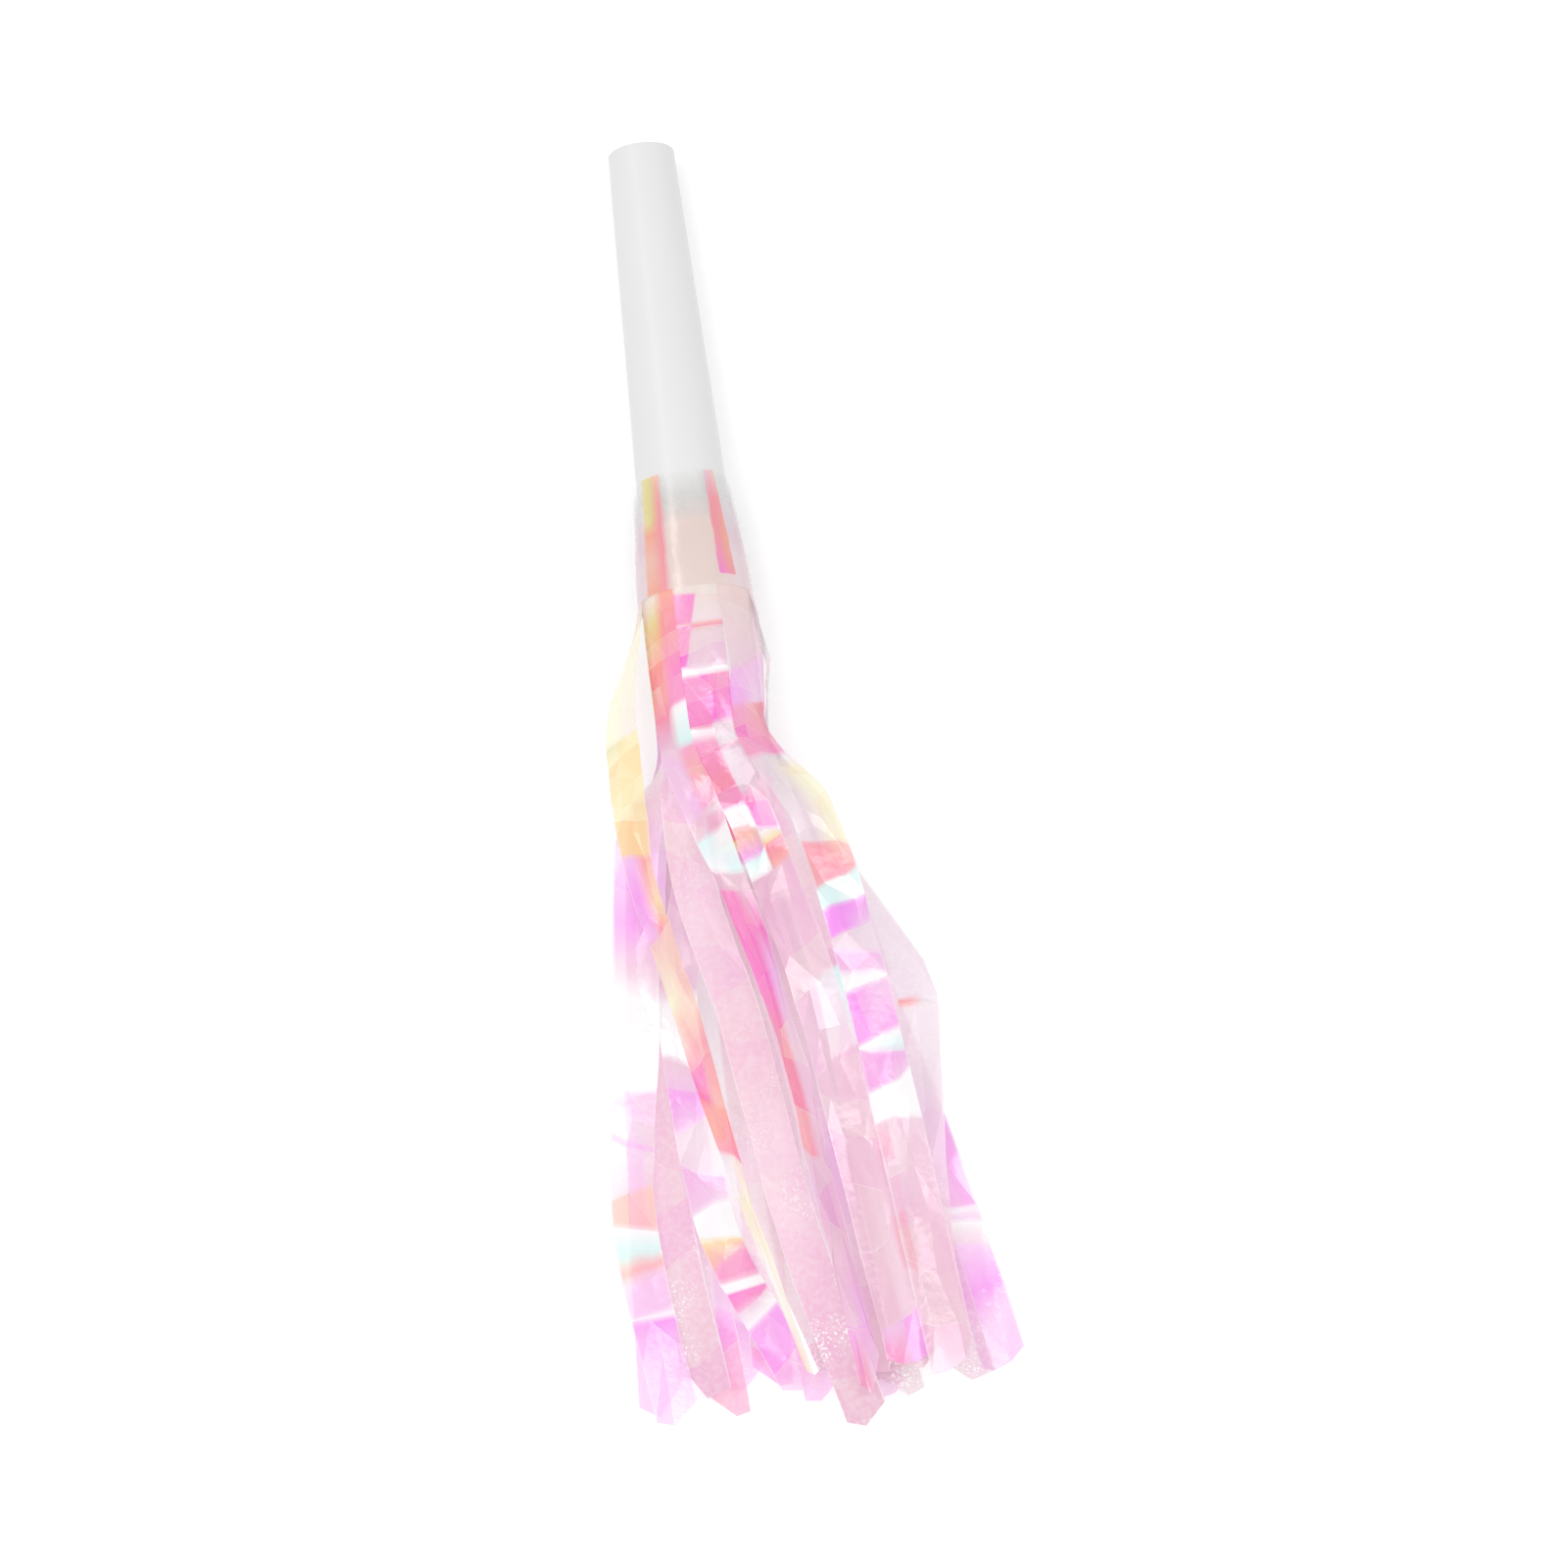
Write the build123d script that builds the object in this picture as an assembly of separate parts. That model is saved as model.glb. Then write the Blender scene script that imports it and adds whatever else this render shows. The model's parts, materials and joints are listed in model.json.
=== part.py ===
from build123d import *
import math
import os
from dataclasses import dataclass

# Fringed party horn lying on a table: +Y points to the mouth, +X to the right, +Z up.
# Millimetres and degrees. The origin is under the middle of the object, on the table.

# Tapered tube
MOUTH_DIAMETER = 13.0
BELL_DIAMETER = 19.2
TUBE_LENGTH = 93.6
TUBE_WALL = 0.9
LIP_BEVEL = 0.3
SOCKET_DIAMETER = 11.2
SOCKET_DEPTH = 22.0
SEAT_RING_WIDTH = 2.0
SEAT_RING_STEP = 0.7

# Reed unit, pushed into the mouth socket against the seat ring
PLUG_FIT = 0.05
COLLAR_LENGTH = 5.0
COLLAR_CHAMFER = 0.5
TROUGH_DIAMETER = 6.6
TROUGH_LENGTH = 10.5
CHANNEL_DIAMETER = 4.4
TROUGH_END_WALL = 1.2
TONGUE_WIDTH = 5.6
TONGUE_THICKNESS = 0.2
TONGUE_ROOT = 2.2
TONGUE_OVERRUN = 0.6
TONGUE_OPENING = 3.0
TONGUE_FIT = 0.14
TONGUE_CORNER = 1.1
WEDGE_HEIGHT = 1.3
WEDGE_LENGTH = 2.6
WEDGE_BEVEL = 0.4
SLOT_SIDE_FIT = 0.2

# Film wrapped round the bell end in turns, each slit into strips past the rim
FILM_THICKNESS = 0.15
WRAP_NAMES = ("inner", "middle", "outer")
HEADER_LENGTH = 24.0
HEADER_FIT = 0.1
HEADER_STEP = 0.3
RIM_FIT = 0.25
RIM_STEP = 0.7
SLIT_WIDTH = 1.4
HINGE_GAP = 0.4
FILM_FLAT_COUNT = 56

# Fringe: the strips keep the rim's ring as far as the neck, then spread into flat sheets
FRINGE_REACH = 161.5
STATIONS = (0.0, 0.17, 0.30, 0.52, 0.75, 1.0)
NECK_NARROWING = 0.95
NECK_SINK = 0.9
NECK_RISE = 0.6
SHEET_STEP = (3.0, 2.6, 2.2, 1.9)
TABLE_GAP = 0.7
NEIGHBOUR_LIFT = 0.8
CREASES = (0.0, 0.09, 0.17, 0.235, 0.30, 0.40, 0.52, 0.67, 0.84, 1.0)
FLATTENING = 110.0
LOOK_AHEAD = 0.01


@dataclass
class Ribbon:
    """How one strip lies.

    The sheet is counted up from the table.
    Sideways, lean and lift have a value at each station past the neck.
    Reach is a share of the fringe's reach and cut is the slant of the tip.
    Bulge and unroll change the strip's place and roll at the neck.
    """

    sheet: int
    sideways: tuple
    lean: tuple = (0, 0, 0, 0)
    lift: tuple = (0, 0, 0, 0)
    reach: float = 1.0
    cut: float = 0.0
    bulge: float = 0.0
    unroll: float = 0.0


# Angle round the rim of the first strip of each turn, counted from the top towards +X
FIRST_STRIP_ANGLE = -90.0

# One row of ribbons for each turn of film, from the inner turn to the outer one
RIBBONS = (
    (
        Ribbon(3, (-15.0, -18.5, -18.9, -15.0), reach=0.97),
        Ribbon(3, (-6.0, -13.0, -11.2, 3.0), reach=0.98, cut=1.5),
        Ribbon(3, (1.5, 4.0, 7.0, 10.0), reach=0.96),
        Ribbon(3, (9.0, 14.5, 17.5, 20.5), reach=0.97, cut=-2.0),
        Ribbon(2, (15.0, 34.0, 31.5, 30.5), lift=(1.5, 0, 0, 0), reach=0.95),
        Ribbon(2, (4.3, 11.0, 15.0, 20.0), reach=0.97),
        Ribbon(2, (-3.5, -1.5, -1.5, -3.0), reach=0.96),
        Ribbon(2, (-11.2, -14.0, -16.0, -17.0), lift=(0, 0, 0, -0.4), reach=0.95),
    ),
    (
        Ribbon(4, (-17.2, -21.3, -26.0, -22.0), reach=1.0),
        Ribbon(4, (-7.4, -0.8, 4.8, 14.5), reach=1.03, cut=3.0),
        Ribbon(4, (1.5, 8.0, 13.0, 18.0), reach=0.97),
        Ribbon(4, (11.5, 18.7, 21.5, 25.0), reach=0.97),
        Ribbon(1, (16.5, 23.0, 29.0, 36.0), lift=(1.5, 0, 0, 0), reach=0.98),
        Ribbon(1, (5.3, 11.0, 15.0, 22.0), reach=0.99),
        Ribbon(1, (-3.0, 2.0, 4.0, 7.0), reach=0.98),
        Ribbon(1, (-11.5, -13.5, -14.0, -12.0), reach=0.99),
    ),
    (
        Ribbon(5, (-17.6, -11.8, -5.0, 4.5), (-35, -40, -50, -45), (1.0, 3.0, 4.2, 4.2), 0.97, 0, -7.0, 45),
        Ribbon(5, (-2.4, 6.4, 11.2, 16.0), (0, 35, 45, 25), (2.0, 2.6, 3.0, 2.0), 1.0),
        Ribbon(5, (5.8, 14.0, 19.0, 24.0), (0, 0, 0, 0), (0.5, 0.5, 0.5, 0.5), 0.97),
        Ribbon(5, (18.0, 24.0, 28.0, 32.0), (10, 10, 0, 0), (0.5, 0.5, 0.5, 0.5), 0.98),
        Ribbon(0, (18.0, 26.0, 34.5, 42.5), lift=(2.0, 0.5, 0, 0), reach=0.97, cut=-3.0),
        Ribbon(0, (5.6, 11.0, 14.5, 18.0), reach=0.99),
        Ribbon(0, (-4.0, -6.5, -7.5, -7.8), reach=0.96),
        Ribbon(0, (-13.5, -19.0, -22.5, -25.0), reach=0.98),
    ),
)

# Sizes that follow from the ones above
MOUTH_RADIUS = MOUTH_DIAMETER / 2
BELL_RADIUS = BELL_DIAMETER / 2
SOCKET_RADIUS = SOCKET_DIAMETER / 2
COUNT = len(RIBBONS[0])
STRIP_PITCH = 360.0 / COUNT
PLUG_RADIUS = SOCKET_RADIUS - PLUG_FIT
TROUGH_RADIUS = TROUGH_DIAMETER / 2
CHANNEL_RADIUS = CHANNEL_DIAMETER / 2
SEAT_FACE = -TUBE_LENGTH + SOCKET_DEPTH
COLLAR_FACE = SEAT_FACE - COLLAR_LENGTH
TONGUE_LENGTH = TROUGH_LENGTH - TONGUE_OVERRUN


def rim_radius(wrap):
    """Middle of the film's thickness at the bell rim, for one turn of film."""
    return film_radius(wrap, 0) + FILM_THICKNESS / 2


def tube_radius(s):
    """Outer radius of the tube at a distance s past the rim, so s is negative on the tube."""
    return BELL_RADIUS + (BELL_RADIUS - MOUTH_RADIUS) * s / TUBE_LENGTH


def bore_radius(s):
    return tube_radius(s) - TUBE_WALL


def film_radius(wrap, s):
    """Inner radius of a turn of film: tight on the tube at its glued edge, loose at the rim."""
    share = 1 + s / HEADER_LENGTH
    tight = HEADER_FIT + wrap * HEADER_STEP
    loose = RIM_FIT + wrap * RIM_STEP
    return tube_radius(s) + tight + (loose - tight) * share


REST_RADIUS = rim_radius(len(WRAP_NAMES) - 1) + FILM_THICKNESS / 2
TILT = math.degrees(math.atan((REST_RADIUS - MOUTH_RADIUS) / TUBE_LENGTH))
RIM_HEIGHT = REST_RADIUS * math.cos(math.radians(TILT))
RIM_CENTRE = Vector(0, 0, RIM_HEIGHT)
UP = Vector(0, math.sin(math.radians(TILT)), math.cos(math.radians(TILT)))
RIGHT = Vector(1, 0, 0)

# Tube's own frame: x right, y up, z from the bell rim towards the fringe
TUBE_PLANE = Plane(RIM_CENTRE, x_dir=RIGHT, z_dir=RIGHT.cross(UP))
FRINGE_WAY = TUBE_PLANE.z_dir


def horn_tube():
    ring_end = SEAT_FACE + SEAT_RING_WIDTH
    ring_radius = SOCKET_RADIUS - SEAT_RING_STEP
    profile = Polyline(
        (MOUTH_RADIUS, 0, -TUBE_LENGTH),
        (BELL_RADIUS, 0, 0),
        (bore_radius(0), 0, 0),
        (bore_radius(ring_end), 0, ring_end),
        (ring_radius, 0, ring_end),
        (ring_radius, 0, SEAT_FACE),
        (SOCKET_RADIUS, 0, SEAT_FACE),
        (SOCKET_RADIUS, 0, -TUBE_LENGTH),
        close=True,
    )
    body = revolve(make_face(profile), Axis.Z)
    lips = body.edges().filter_by(GeomType.CIRCLE).group_by(Axis.Z)[0]
    return chamfer(lips, LIP_BEVEL)


def reed_plug():
    """Collar with a half-round trough that opens upwards and leads the air through the collar."""
    collar = Pos(0, 0, COLLAR_FACE) * Cylinder(
        PLUG_RADIUS, COLLAR_LENGTH, align=(Align.CENTER, Align.CENTER, Align.MIN)
    )
    collar = chamfer(collar.edges().filter_by(GeomType.CIRCLE).group_by(Axis.Z)[-1], COLLAR_CHAMFER)
    trough_end = COLLAR_FACE - TROUGH_LENGTH
    half = Rot(0, 0, 180) * Box(
        2 * TROUGH_RADIUS,
        TROUGH_RADIUS,
        TROUGH_LENGTH + COLLAR_LENGTH,
        align=(Align.CENTER, Align.MIN, Align.MIN),
    )
    half = Pos(0, 0, trough_end) * half
    rod = Pos(0, 0, trough_end) * Cylinder(
        TROUGH_RADIUS,
        TROUGH_LENGTH + COLLAR_LENGTH,
        align=(Align.CENTER, Align.CENTER, Align.MIN),
    )
    channel = Pos(0, 0, trough_end + TROUGH_END_WALL) * Cylinder(
        CHANNEL_RADIUS,
        TROUGH_LENGTH + COLLAR_LENGTH,
        align=(Align.CENTER, Align.CENTER, Align.MIN),
    )
    slot = Pos(0, 0, COLLAR_FACE) * Box(
        TONGUE_WIDTH + 2 * SLOT_SIDE_FIT,
        slot_height(),
        WEDGE_LENGTH,
        align=(Align.CENTER, Align.MIN, Align.MIN),
    )
    return collar + (rod & half) - (channel & half) - slot


def slot_height():
    """Room in the collar for the tongue's root, its play on both sides, and the wedge above it."""
    return TONGUE_THICKNESS + 2 * TONGUE_FIT + WEDGE_HEIGHT


def tongue_hinge():
    """Where the tongue bends: the collar's face, at the middle of the tongue's thickness."""
    return (0, TONGUE_FIT + TONGUE_THICKNESS / 2, COLLAR_FACE)


def reed_tongue():
    """Springy tongue: a level root in the slot and a free blade set open over the trough."""
    root = Box(
        TONGUE_WIDTH,
        TONGUE_THICKNESS,
        TONGUE_ROOT,
        align=(Align.CENTER, Align.CENTER, Align.MIN),
    )
    blade = Box(
        TONGUE_WIDTH,
        TONGUE_THICKNESS,
        TONGUE_LENGTH,
        align=(Align.CENTER, Align.CENTER, Align.MAX),
    )
    tip_corners = blade.edges().filter_by(Axis.Y).group_by(Axis.Z)[0]
    blade = fillet(tip_corners, TONGUE_CORNER)
    return Pos(*tongue_hinge()) * (root + Rot(TONGUE_OPENING, 0, 0) * blade)


def reed_wedge():
    """Block that clamps the tongue's root, with its outer end bevelled for pushing in."""
    floor = TONGUE_THICKNESS + 2 * TONGUE_FIT
    block = Box(
        TONGUE_WIDTH,
        WEDGE_HEIGHT,
        WEDGE_LENGTH,
        align=(Align.CENTER, Align.MIN, Align.MIN),
    )
    outer_top = block.edges().filter_by(Axis.X).sort_by(Axis.Y)[-2:].sort_by(Axis.Z)[0]
    block = chamfer(outer_top, WEDGE_BEVEL)
    return Pos(0, floor, COLLAR_FACE) * block


def film_wrap(wrap):
    """One turn of film on the tube, up to the roots of its strips, with the fine flats of stiff film."""
    length = HEADER_LENGTH - HINGE_GAP / 2
    widening = film_radius(wrap, -HINGE_GAP / 2) - film_radius(wrap, -HEADER_LENGTH)
    flare = math.degrees(math.atan(widening / length))

    def filled(growth):
        radius = film_radius(wrap, -HEADER_LENGTH) + growth
        glued = RegularPolygon(radius, FILM_FLAT_COUNT, major_radius=False)
        return Pos(0, 0, -HEADER_LENGTH) * extrude(glued, length, taper=-flare)

    return filled(FILM_THICKNESS) - filled(0)


def strip_angle(number):
    return FIRST_STRIP_ANGLE + number * STRIP_PITCH


def root_frame(wrap, number):
    """Root of a strip on the rim: its centre, its width direction and its outward normal."""
    angle = math.radians(strip_angle(number))
    outward = RIGHT * math.sin(angle) + UP * math.cos(angle)
    width_way = RIGHT * math.cos(angle) - UP * math.sin(angle)
    return RIM_CENTRE + outward * rim_radius(wrap), width_way, outward


def strip_width(wrap):
    return 2 * math.pi * rim_radius(wrap) / COUNT - SLIT_WIDTH


def smooth(values, u):
    """Smooth curve through the values at the stations that never swings past a value."""
    last = len(STATIONS) - 1
    span = max(i for i in range(last) if STATIONS[i] <= u)

    def rise(i):
        return (values[i + 1] - values[i]) / (STATIONS[i + 1] - STATIONS[i])

    def slope(i):
        before, after = rise(max(i - 1, 0)), rise(min(i, last - 1))
        return 2 * before * after / (before + after) if before * after > 0 else 0

    length = STATIONS[span + 1] - STATIONS[span]
    t = (u - STATIONS[span]) / length
    start, end = values[span], values[span + 1]
    bend = 3 * (end - start) - length * (2 * slope(span) + slope(span + 1))
    turn = 2 * (start - end) + length * (slope(span) + slope(span + 1))
    return start + t * (length * slope(span) + t * (bend + t * turn))


def centre_point(wrap, number, u):
    ribbon = RIBBONS[wrap][number]
    root = root_frame(wrap, number)[0]
    raised = NEIGHBOUR_LIFT * (number % 2)
    heights = [
        TABLE_GAP + FILM_THICKNESS / 2 + step * ribbon.sheet + raised + extra
        for step, extra in zip(SHEET_STEP, ribbon.lift)
    ]
    x = smooth((root.X, root.X * NECK_NARROWING + ribbon.bulge, *ribbon.sideways), u)
    z = smooth((root.Z, root.Z * NECK_SINK + NECK_RISE, *heights), u)
    return Vector(x, root.Y - HINGE_GAP / 2 - FRINGE_REACH * ribbon.reach * u, z)


def strip_frame(wrap, number, u):
    """Centre, travel direction, width direction and outward normal of a strip at a share u of its reach."""
    centre = centre_point(wrap, number, u)
    ahead = centre_point(wrap, number, min(u + LOOK_AHEAD, 1.0))
    behind = centre_point(wrap, number, max(u - LOOK_AHEAD, 0.0))
    travel = FRINGE_WAY if u == 0 else (ahead - behind).normalized()
    level = travel.cross(Vector(0, 0, 1)).normalized()
    above = level.cross(travel)
    ribbon = RIBBONS[wrap][number]
    flat = 0 if ribbon.sheet >= len(WRAP_NAMES) else 180
    at_rim = strip_angle(number)
    roll = smooth((at_rim, at_rim + ribbon.unroll, *[flat + lean for lean in ribbon.lean]), u)
    turn = math.radians(roll)
    width_way = -level * math.cos(turn) - above * math.sin(turn)
    outward = above * math.cos(turn) - level * math.sin(turn)
    return centre, travel, width_way, outward


def strip_section(wrap, number, u):
    """Cross-section of a strip: bowed like the rim at its root and nearly flat further out."""
    centre, travel, width_way, outward = strip_frame(wrap, number, u)
    bow = rim_radius(wrap) + FLATTENING * u
    half_width = strip_width(wrap) / 2
    slant = RIBBONS[wrap][number].cut / half_width if u == 1.0 else 0.0
    across_way = width_way + travel * slant

    def place(radius, share):
        angle = share * half_width / bow
        out = outward * (radius * math.cos(angle) - bow)
        return centre + across_way * (radius * math.sin(angle)) + out

    def arc(radius):
        return ThreePointArc(place(radius, -1), place(radius, 0), place(radius, 1))

    over = arc(bow + FILM_THICKNESS / 2)
    under = arc(bow - FILM_THICKNESS / 2)
    sides = [Line(over @ end, under @ end) for end in (0, 1)]
    return make_face([over, sides[1], under, sides[0]])


def fringe_strip(wrap, number):
    return loft([strip_section(wrap, number, u) for u in CREASES], ruled=True)


def pieces():
    """Every piece by name, in the table frame with the rim above the origin."""
    made = {
        "horn_tube": horn_tube(),
        "reed_plug": reed_plug(),
        "reed_tongue": reed_tongue(),
        "reed_wedge": reed_wedge(),
    }
    for wrap, name in enumerate(WRAP_NAMES):
        made[f"film_wrap_{name}"] = film_wrap(wrap)
    made = {name: TUBE_PLANE * piece for name, piece in made.items()}
    for wrap, name in enumerate(WRAP_NAMES):
        for number in range(COUNT):
            made[f"{name}_strip_{number + 1}"] = fringe_strip(wrap, number)
    return made


def centred(made):
    """Moves everything so that the origin lies on the table under the middle of the object."""
    boxes = [piece.bounding_box() for piece in made.values()]
    low = [min(b.min.X for b in boxes), min(b.min.Y for b in boxes), min(b.min.Z for b in boxes)]
    high = [max(b.max.X for b in boxes), max(b.max.Y for b in boxes)]
    shift = Vector(-(low[0] + high[0]) / 2, -(low[1] + high[1]) / 2, -low[2])
    return shift, {name: Pos(*shift) * piece for name, piece in made.items()}


SHIFT, PIECES = centred(pieces())
os.makedirs("parts", exist_ok=True)
for name, piece in PIECES.items():
    export_step(piece, f"parts/{name}.step")
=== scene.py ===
import json
import math
import random
from dataclasses import dataclass

import bpy
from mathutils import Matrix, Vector


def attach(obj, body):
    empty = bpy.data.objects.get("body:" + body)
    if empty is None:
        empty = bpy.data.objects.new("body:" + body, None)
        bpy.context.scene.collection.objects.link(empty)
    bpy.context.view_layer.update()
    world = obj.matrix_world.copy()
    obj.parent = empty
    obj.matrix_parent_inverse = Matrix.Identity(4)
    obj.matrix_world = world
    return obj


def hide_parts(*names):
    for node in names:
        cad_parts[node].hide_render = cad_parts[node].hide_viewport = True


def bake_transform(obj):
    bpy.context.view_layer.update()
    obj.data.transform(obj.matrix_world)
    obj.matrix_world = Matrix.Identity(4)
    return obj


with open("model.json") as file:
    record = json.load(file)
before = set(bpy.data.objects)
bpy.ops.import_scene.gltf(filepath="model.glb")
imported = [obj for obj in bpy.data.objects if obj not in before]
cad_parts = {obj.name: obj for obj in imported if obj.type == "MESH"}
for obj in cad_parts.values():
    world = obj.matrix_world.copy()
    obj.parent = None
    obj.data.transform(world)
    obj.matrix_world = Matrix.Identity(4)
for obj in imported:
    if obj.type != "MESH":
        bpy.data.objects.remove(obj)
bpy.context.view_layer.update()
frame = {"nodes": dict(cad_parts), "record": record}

# Lengths are in millimetres until a point is placed; the object's frame is in metres.
MM = 0.001

# Tube and film, as in the solids
MOUTH_RADIUS = 6.5
BELL_RADIUS = 9.6
TUBE_LENGTH = 93.6
WRAP_NAMES = ("inner", "middle", "outer")
FILM_THICKNESS = 0.15
HEADER_LENGTH = 24.0
HEADER_FIT = 0.1
HEADER_STEP = 0.3
RIM_FIT = 0.25
RIM_STEP = 0.7
HINGE_GAP = 0.4

# Fringe route, as in the solids
FRINGE_REACH = 161.5
STATIONS = (0.0, 0.17, 0.30, 0.52, 0.75, 1.0)
NECK_NARROWING = 0.95
NECK_SINK = 0.9
NECK_RISE = 0.6
SHEET_STEP = (3.0, 2.6, 2.2, 1.9)
TABLE_GAP = 0.7
NEIGHBOUR_LIFT = 0.8
FLATTENING = 110.0
LOOK_AHEAD = 0.01
FIRST_STRIP_ANGLE = -90.0

# Crumple of the film: it is folded at the colour changes and about every FOLD_LENGTH between them.
# The fold lines make a lattice, whose cells are divided FOLD_CELLS times each way.
FOLD_LENGTH = (7.0, 15.0)
NECK_FOLD_LENGTH = (4.0, 7.5)
FOLD_COLUMNS = ((-1.0, 0.0, 1.0), (-1.0, 0.0, 1.0), (-1.0, -0.38, 0.38, 1.0))
FOLD_CELLS = 3
FOLD_CROWDING = 0.8
LEAST_FOLD = 0.4
FOLD_HEIGHT = 0.6
LOW_FOLD_SHARE = 0.25
HIGH_FOLD_ROOM = 8.0
FOLD_SLANT = 2.2
SLANT_SPREAD = (0.4, 1.0)
SLANT_ROOM = 0.32
SHARP_CHANGE = 1.1
ROOT_LOOSENESS = 0.55
LOOSENING = 2.2
FROST_STIFFNESS = 0.45
COLUMN_SWAY = 0.7
ROW_SWAY = 0.1
EDGE_SWAY = (-0.06, 0.03)
CREASE_ANGLE = 9.0
ROW_TINT = 0.7
PANEL_TINT = 0.3
NECK_LENGTH = 45.0
PUFF_PLACE = 14.0
PUFF_LENGTH = 8.0
PUFF_SPREAD = (0.6, 1.0)
END_CUT = 5.0
WIDTH_PLACES = (0.0, 0.18, 0.36, 0.6, 0.8, 1.0)

# Slit between two strips; below zero they overlap
SLIT_SHOWN = -0.3

# Crumple of the film glued on the tube, by distance past the rim
HEADER_ROWS = (-HEADER_LENGTH, -19.0, -13.5, -8.5, -4.0, HINGE_GAP / 2)
HEADER_SPOKES = 20
SPOKE_SWAY = 0.25
HEADER_SWAY = 1.2
HEADER_HEIGHT = 0.12


@dataclass
class Ribbon:
    """How one strip lies.

    Sheet is its layer in the pile, counted from the table. Sideways, lean and lift hold its place to the
    right, its tilt in degrees and its extra height at the last four stations. Reach is its share of the
    full reach, cut the slant of its end, and bulge and unroll move and turn it in the neck.
    """

    sheet: int
    sideways: tuple
    lean: tuple = (0, 0, 0, 0)
    lift: tuple = (0, 0, 0, 0)
    reach: float = 1.0
    cut: float = 0.0
    bulge: float = 0.0
    unroll: float = 0.0


RIBBONS = (
    (
        Ribbon(3, (-15.0, -18.5, -18.9, -15.0), reach=0.97),
        Ribbon(3, (-6.0, -13.0, -11.2, 3.0), reach=0.98, cut=1.5),
        Ribbon(3, (1.5, 4.0, 7.0, 10.0), reach=0.96),
        Ribbon(3, (9.0, 14.5, 17.5, 20.5), reach=0.97, cut=-2.0),
        Ribbon(2, (15.0, 34.0, 31.5, 30.5), lift=(1.5, 0, 0, 0), reach=0.95),
        Ribbon(2, (4.3, 11.0, 15.0, 20.0), reach=0.97),
        Ribbon(2, (-3.5, -1.5, -1.5, -3.0), reach=0.96),
        Ribbon(2, (-11.2, -14.0, -16.0, -17.0), lift=(0, 0, 0, -0.4), reach=0.95),
    ),
    (
        Ribbon(4, (-17.2, -21.3, -26.0, -22.0)),
        Ribbon(4, (-7.4, -0.8, 4.8, 14.5), reach=1.03, cut=3.0),
        Ribbon(4, (1.5, 8.0, 13.0, 18.0), reach=0.97),
        Ribbon(4, (11.5, 18.7, 21.5, 25.0), reach=0.97),
        Ribbon(1, (16.5, 23.0, 29.0, 36.0), lift=(1.5, 0, 0, 0), reach=0.98),
        Ribbon(1, (5.3, 11.0, 15.0, 22.0), reach=0.99),
        Ribbon(1, (-3.0, 2.0, 4.0, 7.0), reach=0.98),
        Ribbon(1, (-11.5, -13.5, -14.0, -12.0), reach=0.99),
    ),
    (
        Ribbon(
            5,
            (-17.6, -11.8, -5.0, 4.5),
            lean=(-35, -40, -50, -45),
            lift=(1.0, 3.0, 4.2, 4.2),
            reach=0.97,
            bulge=-7.0,
            unroll=45,
        ),
        Ribbon(5, (-2.4, 6.4, 11.2, 16.0), lean=(0, 35, 45, 25), lift=(2.0, 2.6, 3.0, 2.0)),
        Ribbon(5, (5.8, 14.0, 19.0, 24.0), lift=(0.5, 0.5, 0.5, 0.5), reach=0.97),
        Ribbon(5, (18.0, 24.0, 28.0, 32.0), lean=(10, 10, 0, 0), lift=(0.5, 0.5, 0.5, 0.5), reach=0.98),
        Ribbon(0, (18.0, 26.0, 34.5, 42.5), lift=(2.0, 0.5, 0, 0), reach=0.97, cut=-3.0),
        Ribbon(0, (5.6, 11.0, 14.5, 18.0), reach=0.99),
        Ribbon(0, (-4.0, -6.5, -7.5, -7.8), reach=0.96),
        Ribbon(0, (-13.5, -19.0, -22.5, -25.0), reach=0.98),
    ),
)
COUNT = len(RIBBONS[0])

# Colours of the film, as screen values, and how much of what lies behind they hide; the palest and the
# greenish ones are painted highlights, and the grey sheer one carries painted shade
COLOURS = {
    # Painted light: the palest colour stands for highlights, and for light painted into the lower turns'
    # necks where the dark inside would show
    "painted_light_white": (255, 255, 255, 0.84),
    # Painted highlight: the greenish sheen where the film catches a lamp
    "mint_highlight": (214, 255, 249, 0.8),
    "cream": (255, 246, 200, 0.74),
    "gold": (255, 222, 122, 0.7),
    "olive": (232, 214, 120, 0.76),
    "peach": (255, 178, 148, 0.62),
    "orange": (255, 146, 104, 0.68),
    "salmon": (252, 122, 140, 0.72),
    "hot_pink": (252, 112, 186, 0.74),
    "magenta": (250, 88, 198, 0.78),
    "orchid": (250, 144, 238, 0.7),
    "lilac": (250, 188, 242, 0.58),
    "pale_pink": (248, 206, 226, 0.54),
    "frost": (238, 184, 208, 0.64),
    "dusty": (224, 172, 193, 0.74),
    "grey_pink": (236, 212, 224, 0.54),
    "smoke": (228, 206, 218, 0.62),
    "clear": (250, 240, 246, 0.34),
    "bare": (226, 224, 221, 0.03),
    # Thin clear film near the top of the sleeve; its grey is darkened beyond the film's own to paint
    # shade on the tube there
    "sheer_and_shade": (212, 210, 207, 0.17),
    "beige": (248, 226, 206, 0.5),
    "glued": (238, 210, 200, 0.7),
    "glued_pink": (246, 220, 226, 0.7),
}


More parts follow.
